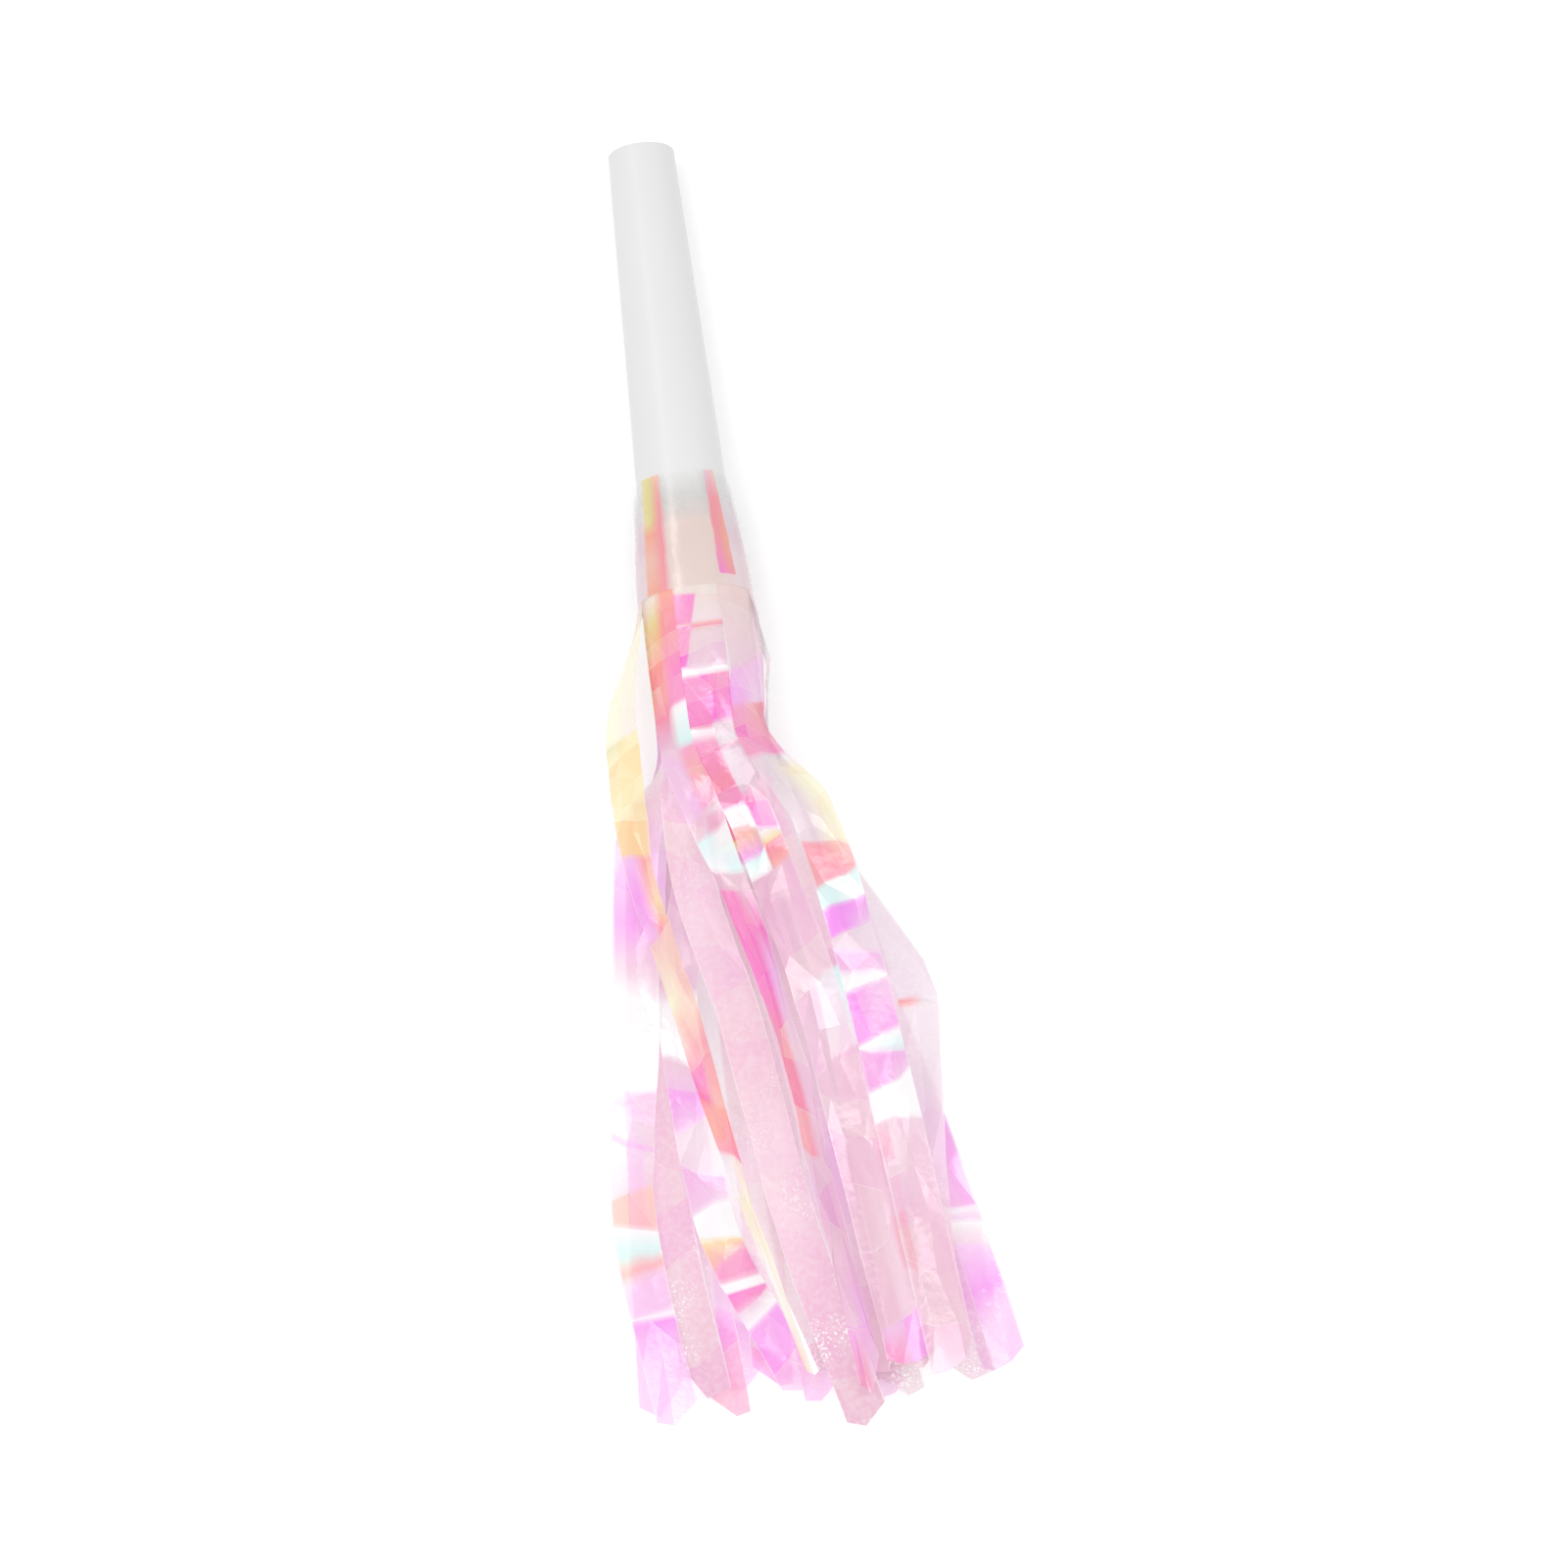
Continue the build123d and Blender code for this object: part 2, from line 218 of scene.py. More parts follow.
@dataclass
class Look:
    """Colours of a strip by distance past the rim, and its form where it differs from the plain one.

    Right gives the colours of its right half where they differ, and turns the shares of the half width
    between which the left ones give way to them. Slide moves that turn to the left up to SLIDE_END past
    the rim. Frost is how matt and mottled the film is, how thickly painted glints speckle it, and how
    much it mutes the painted crease highlights. Width is its share of the full pitch, and tip what is
    left of that at the end. Kinked means that it turns sharply instead of in a curve. Puff is how far it
    stands off in the neck, and veil how much more or less it hides than its colours say.
    """

    keys: tuple
    right: tuple = ()
    turns: tuple = (-0.3, 0.4)
    frost: float = 0.0
    width: float = 1.0
    tip: float = 1.0
    kinked: bool = False
    puff: float = 0.0
    slide: float = 0.0
    veil: float = 1.0


# Its pale first 20 mm is painted light that hides the dark inside of the neck
FROSTED = Look(
    (
        (0, "painted_light_white"), (20, "painted_light_white"), (45, "frost"), (85, "pale_pink"), (120, "frost"),
        (165, "dusty"),
    ),
    frost=1.0,
    veil=0.75,
)
ROSY = Look(
    (
        (0, "glued_pink"), (20, "pale_pink"), (60, "frost"), (147, "frost"), (148, "hot_pink"),
        (156, "orchid"),
    ),
    frost=0.6,
    veil=0.85,
)
CLEAR = Look(
    (
        (0, "glued_pink"), (16, "pale_pink"), (60, "grey_pink"), (110, "clear"), (140, "lilac"),
        (141, "orchid"), (150, "lilac"),
    ),
    frost=0.3,
    veil=0.85,
)

# In these keys the palest and the greenish panels are painted highlights, and the pale starts of the
# middle and inner strips are painted light that hides the dark inside of the neck
LOOKS = {
    ("outer", 1): Look(
        (
            (0, "glued_pink"), (4, "cream"), (25, "cream"), (26, "olive"), (29, "gold"),
            (50, "gold"), (51, "lilac"), (59, "orchid"), (66, "lilac"), (67, "peach"),
            (78, "cream"), (84, "peach"), (90, "salmon"), (95, "hot_pink"), (101, "salmon"),
            (102, "orange"), (108, "orange"), (112, "salmon"), (113, "grey_pink"), (118, "clear"),
            (122, "cream"), (134, "painted_light_white"), (155, "cream"),
        ),
        (
            (0, "glued_pink"), (4, "cream"), (25, "beige"), (26, "gold"), (50, "gold"),
            (51, "orange"), (60, "gold"), (66, "orange"), (67, "peach"), (84, "peach"),
            (90, "salmon"), (101, "peach"), (102, "orange"), (112, "salmon"), (113, "beige"),
            (122, "cream"), (155, "painted_light_white"),
        ),
        width=0.72,
        tip=0.45,
    ),
    ("outer", 2): Look(
        (
            (0, "beige"), (5, "olive"), (13, "orange"), (24, "salmon"), (30, "frost"),
            (31, "pale_pink"), (34, "lilac"), (44, "lilac"), (45, "frost"), (48, "pale_pink"),
            (49, "mint_highlight"), (56, "painted_light_white"), (57, "frost"), (60, "frost"), (61, "hot_pink"),
            (80, "hot_pink"), (94, "salmon"), (114, "salmon"), (115, "frost"), (130, "frost"),
            (148, "pale_pink"), (149, "orchid"), (158, "hot_pink"),
        ),
        (
            (0, "orange"), (9, "salmon"), (18, "hot_pink"), (23, "hot_pink"), (24, "painted_light_white"),
            (30, "mint_highlight"), (31, "hot_pink"), (36, "salmon"), (44, "hot_pink"), (45, "pale_pink"),
            (48, "frost"), (49, "painted_light_white"), (56, "mint_highlight"), (57, "frost"), (60, "frost"),
            (68, "hot_pink"), (78, "lilac"), (94, "pale_pink"), (112, "frost"), (130, "frost"),
            (148, "lilac"), (149, "orchid"), (158, "lilac"),
        ),
        turns=(-0.15, 0.35),
        width=0.66,
    ),
    ("outer", 3): Look(
        (
            (0, "glued"), (1.4, "glued"), (2, "magenta"), (7, "hot_pink"), (16, "magenta"),
            (16.6, "painted_light_white"), (17.4, "painted_light_white"), (18, "magenta"), (28, "hot_pink"), (29, "painted_light_white"),
            (31, "hot_pink"), (39, "salmon"), (40, "hot_pink"), (43, "hot_pink"), (44, "painted_light_white"),
            (48, "painted_light_white"), (49, "peach"), (52, "orchid"), (53, "mint_highlight"), (56, "painted_light_white"),
            (57, "frost"), (90, "pale_pink"), (120, "frost"), (146, "frost"), (147, "lilac"),
            (156, "hot_pink"),
        ),
        (
            (0, "glued"), (7, "glued_pink"), (7.6, "salmon"), (8.2, "salmon"), (8.8, "frost"),
            (16, "frost"), (16.6, "painted_light_white"), (17.4, "painted_light_white"), (18, "hot_pink"), (27, "magenta"),
            (28, "grey_pink"), (32, "smoke"), (32.6, "hot_pink"), (33.2, "smoke"),
            (40, "grey_pink"), (41, "pale_pink"), (43, "hot_pink"), (48, "hot_pink"), (49, "painted_light_white"),
            (52, "gold"), (53, "salmon"), (56, "peach"), (57, "frost"), (84, "pale_pink"),
            (110, "frost"), (146, "pale_pink"), (147, "orchid"),
        ),
        turns=(0.0, 0.12),
        slide=0.85,
    ),
    ("outer", 4): Look(
        (
            (0, "glued"), (15, "frost"), (16, "orchid"), (23, "orchid"), (24, "hot_pink"),
            (34, "hot_pink"), (35, "clear"), (40, "clear"), (52, "grey_pink"), (53, "salmon"),
            (59, "salmon"), (60, "mint_highlight"), (64, "mint_highlight"), (65, "orchid"), (70, "orchid"),
            (71, "clear"), (74, "clear"), (75, "orchid"), (78, "orchid"), (79, "painted_light_white"),
            (81, "painted_light_white"), (82, "orchid"), (91, "orchid"), (92, "painted_light_white"), (94, "painted_light_white"),
            (95, "orchid"), (100, "orchid"), (101, "painted_light_white"), (108, "painted_light_white"), (109, "pale_pink"),
            (130, "frost"),
        ),
        (
            (0, "glued"), (15, "frost"), (16, "orchid"), (23, "lilac"), (24, "salmon"),
            (34, "hot_pink"), (35, "clear"), (38, "cream"), (52, "cream"), (53, "peach"),
            (59, "salmon"), (60, "mint_highlight"), (64, "painted_light_white"), (65, "orchid"), (70, "lilac"),
            (71, "clear"), (74, "clear"), (75, "orchid"), (78, "lilac"), (79, "painted_light_white"),
            (81, "painted_light_white"), (82, "lilac"), (91, "orchid"), (92, "painted_light_white"), (94, "mint_highlight"),
            (95, "orchid"), (100, "lilac"), (101, "painted_light_white"), (108, "painted_light_white"), (109, "pale_pink"),
            (130, "frost"),
        ),
        puff=1.6,
    ),
    ("outer", 5): Look(
        (
            (0, "glued_pink"), (7, "pale_pink"), (8, "painted_light_white"), (12, "clear"), (13, "pale_pink"),
            (20, "beige"), (21, "lilac"), (27, "pale_pink"), (28, "painted_light_white"), (32, "grey_pink"),
            (60, "lilac"), (100, "pale_pink"), (105, "orchid"), (113, "orchid"), (123, "orchid"),
            (124, "painted_light_white"), (126, "lilac"), (127, "painted_light_white"), (131, "pale_pink"), (132, "lilac"),
            (140, "orchid"), (147, "lilac"), (158, "lilac"),
        ),
        puff=2.6,
        veil=1.15,
    ),
    ("outer", 6): ROSY,
    ("outer", 7): CLEAR,
    ("outer", 8): Look(
        (
            (0, "glued_pink"), (9, "cream"), (10, "peach"), (19, "gold"), (20, "painted_light_white"),
            (25, "lilac"), (26, "orchid"), (40, "lilac"), (80, "pale_pink"), (120, "orchid"),
            (150, "lilac"),
        )
    ),
    ("middle", 1): Look(
        (
            (0, "glued_pink"), (24, "lilac"), (40, "pale_pink"), (52, "lilac"), (62, "orchid"),
            (72, "pale_pink"), (78, "painted_light_white"), (96, "painted_light_white"), (97, "lilac"), (101, "lilac"),
            (102, "clear"), (105, "clear"), (105.8, "orchid"), (107, "clear"), (115, "pale_pink"),
            (116, "peach"), (122, "peach"), (123, "painted_light_white"), (127, "mint_highlight"), (130, "peach"),
            (132, "pale_pink"), (133, "lilac"), (139, "lilac"), (140, "painted_light_white"), (141, "orchid"),
            (148, "lilac"), (160, "lilac"),
        ),
    ),
    ("middle", 2): Look(
        (
            (0, "painted_light_white"), (20, "painted_light_white"), (26, "lilac"), (32, "pale_pink"), (50, "frost"),
            (64, "pale_pink"), (90, "frost"), (110, "pale_pink"), (141, "frost"), (167, "dusty"),
        ),
        frost=1.0,
        veil=1.4,
    ),
    ("middle", 3): Look(
        (
            (0, "painted_light_white"), (17, "painted_light_white"), (28, "pale_pink"), (29, "painted_light_white"), (42, "clear"),
            (43, "hot_pink"), (49, "salmon"), (50, "gold"), (53, "orchid"), (54, "painted_light_white"),
            (58, "frost"), (90, "pale_pink"), (120, "lilac"), (150, "frost"),
        ),
    ),
    ("middle", 4): Look(
        (
            (0, "painted_light_white"), (24, "painted_light_white"), (36, "pale_pink"), (76, "frost"), (77, "mint_highlight"),
            (92, "painted_light_white"), (93, "frost"), (140, "pale_pink"), (160, "frost"),
        ),
        (
            (0, "painted_light_white"), (24, "painted_light_white"), (36, "clear"), (76, "pale_pink"), (108, "frost"),
            (109, "hot_pink"), (114, "hot_pink"), (115, "frost"), (126, "frost"), (127, "salmon"),
            (136, "salmon"), (137, "frost"), (160, "dusty"),
        ),
        turns=(0.2, 0.35),
        frost=0.5,
        veil=1.3,
    ),
    ("middle", 5): FROSTED,
    ("middle", 6): FROSTED,
    ("middle", 7): ROSY,
    ("middle", 8): Look(
        (
            (0, "pale_pink"), (60, "frost"), (138, "lilac"), (139, "orchid"), (155, "hot_pink"),
        ),
        frost=0.6,
        veil=0.9,
    ),
    ("inner", 1): Look(
        (
            (0, "painted_light_white"), (25, "painted_light_white"), (60, "lilac"), (84, "pale_pink"), (98, "frost"),
            (130, "frost"), (165, "dusty"),
        ),
        frost=1.0,
        veil=1.25,
    ),
    ("inner", 2): Look(
        (
            (0, "painted_light_white"), (30, "painted_light_white"), (50, "lilac"), (76, "pale_pink"), (79, "painted_light_white"),
            (90, "painted_light_white"), (92, "pale_pink"), (97, "lilac"), (98, "orchid"), (103, "lilac"),
            (104, "clear"), (112, "clear"), (113, "orchid"), (119, "lilac"), (120, "painted_light_white"),
            (126, "painted_light_white"), (127, "gold"), (130, "peach"), (131, "hot_pink"), (134, "hot_pink"),
            (135, "painted_light_white"), (136.4, "painted_light_white"), (137, "magenta"), (139, "hot_pink"), (140, "clear"),
            (142, "painted_light_white"), (143, "orchid"), (154, "orchid"), (158, "lilac"),
        ),
    ),
    ("inner", 3): FROSTED,
    ("inner", 4): FROSTED,
    ("inner", 5): Look(
        (
            (0, "grey_pink"), (45, "grey_pink"), (61, "smoke"), (83, "smoke"), (84, "grey_pink"),
            (100, "smoke"), (112, "grey_pink"), (130, "pale_pink"), (150, "frost"),
        ),
        (
            (0, "grey_pink"), (45, "grey_pink"), (61, "smoke"), (82, "smoke"), (82.8, "salmon"),
            (84, "salmon"), (84.4, "grey_pink"), (100, "smoke"), (112, "grey_pink"),
            (130, "pale_pink"), (150, "frost"),
        ),
        frost=0.5,
        kinked=True,
        veil=1.2,
    ),
    ("inner", 6): FROSTED,
    ("inner", 7): ROSY,
    ("inner", 8): FROSTED,
}
RAMP_LENGTH = 180.0
SLIDE_END = 16.0
SLIDE_FADE = 0.5

# Film glued on the tube, by distance from its upper edge
# Near its top edge each sleeve shows a darkened grey that paints shade on the tube
HEADER_LOOK = Look(((0, "bare"), (4, "sheer_and_shade"), (11, "glued"), (24, "glued")))
HEADER_SIDES = (
    (0, "bare"), (6, "clear"), (13, "pale_pink"), (18, "glued_pink"), (24, "glued_pink"),
)
UNDER_LOOK = Look(((0, "bare"), (5, "sheer_and_shade"), (24, "clear")))
LEFT_STRIPE = ((0, "olive"), (9, "olive"), (12, "orange"), (18, "peach"), (24, "orange"))
LEFT_EDGE = ((0, "peach"), (6, "salmon"), (13, "salmon"), (24, "salmon"))
RIGHT_STRIPE = ((0, "frost"), (6, "salmon"), (14, "salmon"), (20, "hot_pink"), (22, "magenta"))
RIGHT_EDGE = ((0, "peach"), (6, "salmon"), (15, "orange"), (22, "salmon"))

# Where those lie round the tube, as shares of half a turn from its top, and where colours meet;
# RIGHT_LENGTH is in shares of the film's length
SIDE_MEETING = (0.14, 0.28)
LEFT_BAND = (-0.325, -0.13)
LEFT_MEETING = (-0.24, -0.17)
LEFT_SOFTNESS = 0.035
RIGHT_START = 0.145
RIGHT_REACH = 0.5
RIGHT_BAND = (0.0, 0.235)
RIGHT_MEETING = (0.18, 0.23)
RIGHT_SLANT = -0.045
RIGHT_LENGTH = (-0.1, 0.92)
BAND_SOFTNESS = 0.012
STRIPE_WAVE = 0.01

# Noises of the materials: scale and detail
RIPPLE = (240, 3)
# The next noise places painted glints
GLINT_SPECK = (1800, 1)
PATCH = (60, 2)
MOTTLE = (900, 4)
CRINKLE = (700, 2)
FLOW = (60, 4)
MOULD_GRAIN = (1800, 2)

# Finish of the film; two numbers are the values between which something sets in
# Pale colour mixed in for the frosted mottle, which is the film's own tone, and for the painted glints
# and highlights
PALE_TONE_AND_HIGHLIGHT = (0.97, 0.95, 0.97, 1)
FILM_IOR = 1.7
FILM_SPECULAR = 0.8
FILM_ROUGHNESS = (0.1, 0.24)
FROST_ROUGHNESS = (0.25, 0.3)
CRINKLE_STRENGTH = 0.2
CRINKLE_DEPTH = 0.0003
# Painted glints: the noise values between which specks and their patches set in, and where along the
# strip the patches grow
GLINT_SPECK_RANGE = (0.57, 0.63)
PATCH_RANGE = (0.5, 0.6)
PATCH_FAINT = 0.2
PATCH_ALONG = (0.45, 0.8)
MOTTLE_SHARE = 0.2
MOTTLE_RANGE = (0.4, 0.65)
HUES = (0.475, 0.525)
SATURATIONS = (1.2, 0.7)
# Painted highlights: pale lines along the creases and along the strips' edges
CREASE_HIGHLIGHT_WIDTH = (0.005, 0.025)
CREASE_HIGHLIGHT_SHARE = 0.4
EDGE_HIGHLIGHT_SHARE = 0.45
EDGE_HIGHLIGHT_RANGE = (0.9, 0.97)
EDGE_HIGHLIGHT_ALONG = (0.16, 0.28)

# Share of the lamps' and other surfaces' light that passes where the film hides what lies behind
LIGHT_PASSED = 0.6

# Moulded plastic: name, screen colour and roughness of each kind, and what varies over it
TUBE_PLASTIC = ("tube_white", (234, 234, 234), 0.34)
REED_PLASTIC = ("reed_white", (228, 228, 224), 0.45)
TONGUE_PLASTIC = ("tongue_clear", (226, 230, 234), 0.2)
FLOW_SHADE = 0.97
ROUGHNESS_SPREAD = 0.05
GRAIN_STRENGTH = 0.05
GRAIN_DEPTH = 0.0002

# Table, sky and lamps: place, size and power of each
SKY_LIGHT = 0.735
FLOOR_SIZE = 2.4
FLOOR_COLOUR = (0.9, 0.9, 0.9, 1)
FLOOR_ROUGHNESS = 0.9
FLOOR_SPECULAR = 0.1
FLOOR_GLOW = 0.24
WHITE = (1, 1, 1, 1)
LAMPS = {
    "top_left": ((-0.33, -0.12, 1.0), 0.35, 1.54),
    "top_right": ((0.3, -0.1, 1.0), 0.35, 1.25),
    "key": ((-0.45, 0.35, 0.75), 0.3, 0.67),
}

# Camera: where it looks, and its place round that point in degrees and metres
TARGET = (0.004, 0.0, 0.006)
AZIMUTH = -6.75
ELEVATION = 76.0
DISTANCE = 2.55
LENS = 300
SENSOR_WIDTH = 36


def linear(colour):
    """Screen values to the renderer's linear ones."""
    shares = [value / 255 for value in colour[:3]]
    return [c / 12.92 if c <= 0.04045 else ((c + 0.055) / 1.055) ** 2.4 for c in shares]


def tube_radius(s):
    return BELL_RADIUS + (BELL_RADIUS - MOUTH_RADIUS) * s / TUBE_LENGTH


def film_radius(wrap, s):
    """Middle of the film's thickness for one turn of film, s past the rim."""
    share = 1 + s / HEADER_LENGTH
    tight = HEADER_FIT + wrap * HEADER_STEP
    loose = RIM_FIT + wrap * RIM_STEP
    return tube_radius(s) + tight + (loose - tight) * share + FILM_THICKNESS / 2


REST_RADIUS = film_radius(len(WRAP_NAMES) - 1, 0) + FILM_THICKNESS / 2
TILT = math.atan((REST_RADIUS - MOUTH_RADIUS) / TUBE_LENGTH)
UP = Vector((0, math.sin(TILT), math.cos(TILT)))
RIGHT = Vector((1, 0, 0))
FRINGE_WAY = RIGHT.cross(UP)
RIM_CENTRE = Vector((0, 0, REST_RADIUS * math.cos(TILT)))


def strip_angle(number):
    return FIRST_STRIP_ANGLE + number * 360.0 / COUNT


def root_point(wrap, number):
    angle = math.radians(strip_angle(number))
    return RIM_CENTRE + (RIGHT * math.sin(angle) + UP * math.cos(angle)) * film_radius(wrap, 0)


def strip_width(wrap):
    return 2 * math.pi * film_radius(wrap, 0) / COUNT - SLIT_SHOWN


def table_shift():
    """From the rim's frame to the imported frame, read off one strip's joint."""
    joints = frame["record"]["behaviour"]["joints"]
    pivot = next(joint["pos_m"] for joint in joints if joint["name"] == "outer_strip_3_flex")
    return Vector(pivot) / MM - root_point(2, 2)


SHIFT = table_shift()


def placed(point):
    return (point + SHIFT) * MM


def station_span(u):
    last = len(STATIONS) - 1
    return max(i for i in range(last) if STATIONS[i] <= u)


def straight(values, u):
    """Straight runs through the values at the stations."""
    span = station_span(u)
    share = (u - STATIONS[span]) / (STATIONS[span + 1] - STATIONS[span])
    return values[span] + (values[span + 1] - values[span]) * share


def smooth(values, u):
    """Smooth curve through the values at the stations that never swings past a value."""
    last = len(STATIONS) - 1
    span = station_span(u)

    def rise(i):
        return (values[i + 1] - values[i]) / (STATIONS[i + 1] - STATIONS[i])

    def slope(i):
        before, after = rise(max(i - 1, 0)), rise(min(i, last - 1))
        return 2 * before * after / (before + after) if before * after > 0 else 0

    length = STATIONS[span + 1] - STATIONS[span]
    t = (u - STATIONS[span]) / length
    start, end = values[span], values[span + 1]
    bend = 3 * (end - start) - length * (2 * slope(span) + slope(span + 1))
    turn = 2 * (start - end) + length * (slope(span) + slope(span + 1))
    return start + t * (length * slope(span) + t * (bend + t * turn))


def centre_point(wrap, number, u):
    ribbon = RIBBONS[wrap][number]
    root = root_point(wrap, number)
    raised = NEIGHBOUR_LIFT * (number % 2)
    heights = [
        TABLE_GAP + FILM_THICKNESS / 2 + step * ribbon.sheet + raised + extra
        for step, extra in zip(SHEET_STEP, ribbon.lift)
    ]
    route = straight if LOOKS[WRAP_NAMES[wrap], number + 1].kinked else smooth
    x = route((root.x, root.x * NECK_NARROWING + ribbon.bulge, *ribbon.sideways), u)
    z = smooth((root.z, root.z * NECK_SINK + NECK_RISE, *heights), u)
    return Vector((x, root.y - HINGE_GAP / 2 - FRINGE_REACH * ribbon.reach * u, z))


def strip_frame(wrap, number, u):
    """Centre, width direction and outward normal of a strip at a share u of its reach."""
    centre = centre_point(wrap, number, u)
    ahead = centre_point(wrap, number, min(u + LOOK_AHEAD, 1.0))
    behind = centre_point(wrap, number, max(u - LOOK_AHEAD, 0.0))
    travel = FRINGE_WAY if u == 0 else (ahead - behind).normalized()
    level = travel.cross(Vector((0, 0, 1))).normalized()
    above = level.cross(travel)
    ribbon = RIBBONS[wrap][number]
    flat = 0 if ribbon.sheet >= len(WRAP_NAMES) else 180
    at_rim = strip_angle(number)
    roll = smooth((at_rim, at_rim + ribbon.unroll, *[flat + lean for lean in ribbon.lean]), u)
    turn = math.radians(roll)
    width_way = -level * math.cos(turn) - above * math.sin(turn)
    outward = above * math.cos(turn) - level * math.sin(turn)
    return centre, width_way, outward


def width_share(look, u):
    """Share of the full pitch: from all of it at the rim to the look's width, then to its tip."""
    end_width = look.width * look.tip
    widths = (1.0, 1.0, look.width, look.width, end_width, end_width)
    shares = tuple(zip(WIDTH_PLACES, widths))
    for (start, before), (end, after) in zip(shares, shares[1:]):
        if u <= end:
            return before + (after - before) * (u - start) / (end - start)
    return end_width


def strip_point(wrap, number, u, share, lift):
    """Point of a strip at a share u of its reach and a share of its half width, lifted off its film."""
    centre, width_way, outward = strip_frame(wrap, number, min(max(u, 0.0), 1.0))
    beyond = max(u - 1.0, 0.0) * FRINGE_REACH
    centre = centre + outward.cross(width_way) * beyond
    bow = film_radius(wrap, 0) + FLATTENING * u
    half_width = strip_width(wrap) / 2 * width_share(LOOKS[WRAP_NAMES[wrap], number + 1], u)
    angle = share * half_width / bow
    sideways = width_way * ((bow + lift) * math.sin(angle))
    return centre + sideways + outward * ((bow + lift) * math.cos(angle) - bow)


def sharp_changes(keys):
    """Distances at which a list of colours changes at once."""
    return [(a + b) / 2 for (a, _), (b, _) in zip(keys, keys[1:]) if b - a <= SHARP_CHANGE]


def fold_rows(rng, length, look):
    """Distances past the rim at which the film is folded across."""
    places = [0.0]
    for change in sorted({*sharp_changes(look.keys), *sharp_changes(look.right), length}):
        if change > length:
            continue
        while True:
            step = NECK_FOLD_LENGTH if places[-1] < NECK_LENGTH else FOLD_LENGTH
            if change - places[-1] <= step[1]:
                break
            places.append(places[-1] + rng.uniform(*step) * FOLD_CROWDING)
        if change - places[-1] > LEAST_FOLD:
            places.append(change)
    if places[-1] < length:
        places[-1] = length
    return places


def between(corners, falling, a, b):
    """Value inside a cell of the fold lattice that is creased along one of its diagonals."""
    near_left, near_right, far_left, far_right = corners
    if falling:
        if a >= b:
            return near_left + (far_left - near_left) * a + (far_right - far_left) * b
        return near_left + (near_right - near_left) * b + (far_right - near_right) * a
    if a + b <= 1:
        return near_left + (far_left - near_left) * a + (near_right - near_left) * b
    return far_right + (near_right - far_right) * (1 - a) + (far_left - far_right) * (1 - b)


class FoldedGrid:
    """Grid of points creased along the lines of a coarse lattice, with a random tint for each facet."""

    def __init__(self, lattice, rng):
        self.lattice = lattice
        self.rng = rng
        self.cells = (len(lattice) - 1, len(lattice[0]) - 1)
        rows, columns = self.cells
        self.falling = [[rng.random() < 0.5 for _ in range(columns)] for _ in range(rows)]

    def points(self):
        rows = self.cells[0] * FOLD_CELLS + 1
        columns = self.cells[1] * FOLD_CELLS + 1
        return [[self.point(row, column) for column in range(columns)] for row in range(rows)]

    def point(self, row, column):
        i = min(row // FOLD_CELLS, self.cells[0] - 1)
        j = min(column // FOLD_CELLS, self.cells[1] - 1)
        corners = (
            self.lattice[i][j],
            self.lattice[i][j + 1],
            self.lattice[i + 1][j],
            self.lattice[i + 1][j + 1],
        )
        return between(corners, self.falling[i][j], row / FOLD_CELLS - i, column / FOLD_CELLS - j)

    def tints(self, cells):
        """Tints of the two halves of each panel in a row, which are near each other."""
        row = self.rng.uniform(-ROW_TINT, ROW_TINT)
        panels = [row + self.rng.uniform(-PANEL_TINT, PANEL_TINT) for _ in range(cells)]
        return [(panel, panel + self.rng.uniform(-PANEL_TINT, PANEL_TINT)) for panel in panels]

    def facet_spot(self, i, j, corner, in_first):
        """Shares of a point's distances from the three edges of its facet."""
        a, b = corner[0] / FOLD_CELLS - i, corner[1] / FOLD_CELLS - j
        if self.falling[i][j]:
            return (1 - a, a - b, b) if in_first else (1 - b, b - a, a)
        return (1 - a - b, a, b) if in_first else (a + b - 1, 1 - a, 1 - b)

    def faces(self):
        """Triangles as grid places, with their facet's tint and each corner's place in that facet."""
        tints = [self.tints(len(line)) for line in self.falling]
        made = []
        for row in range(self.cells[0] * FOLD_CELLS):
            for column in range(self.cells[1] * FOLD_CELLS):
                i, j = row // FOLD_CELLS, column // FOLD_CELLS
                a, b = row % FOLD_CELLS, column % FOLD_CELLS
                near_left, near_right = (row, column), (row, column + 1)
                far_left, far_right = (row + 1, column), (row + 1, column + 1)
                first, second = tints[i][j]
                if self.falling[i][j]:
                    halves = (
                        ((near_left, far_left, far_right), a >= b),
                        ((near_left, far_right, near_right), a > b),
                    )
                else:
                    halves = (
                        ((near_left, far_left, near_right), a + b < FOLD_CELLS),
                        ((far_left, far_right, near_right), a + b < FOLD_CELLS - 1),
                    )
                for corners, in_first in halves:
                    spots = [self.facet_spot(i, j, corner, in_first) for corner in corners]
                    made.append((corners, first if in_first else second, spots))
        return made


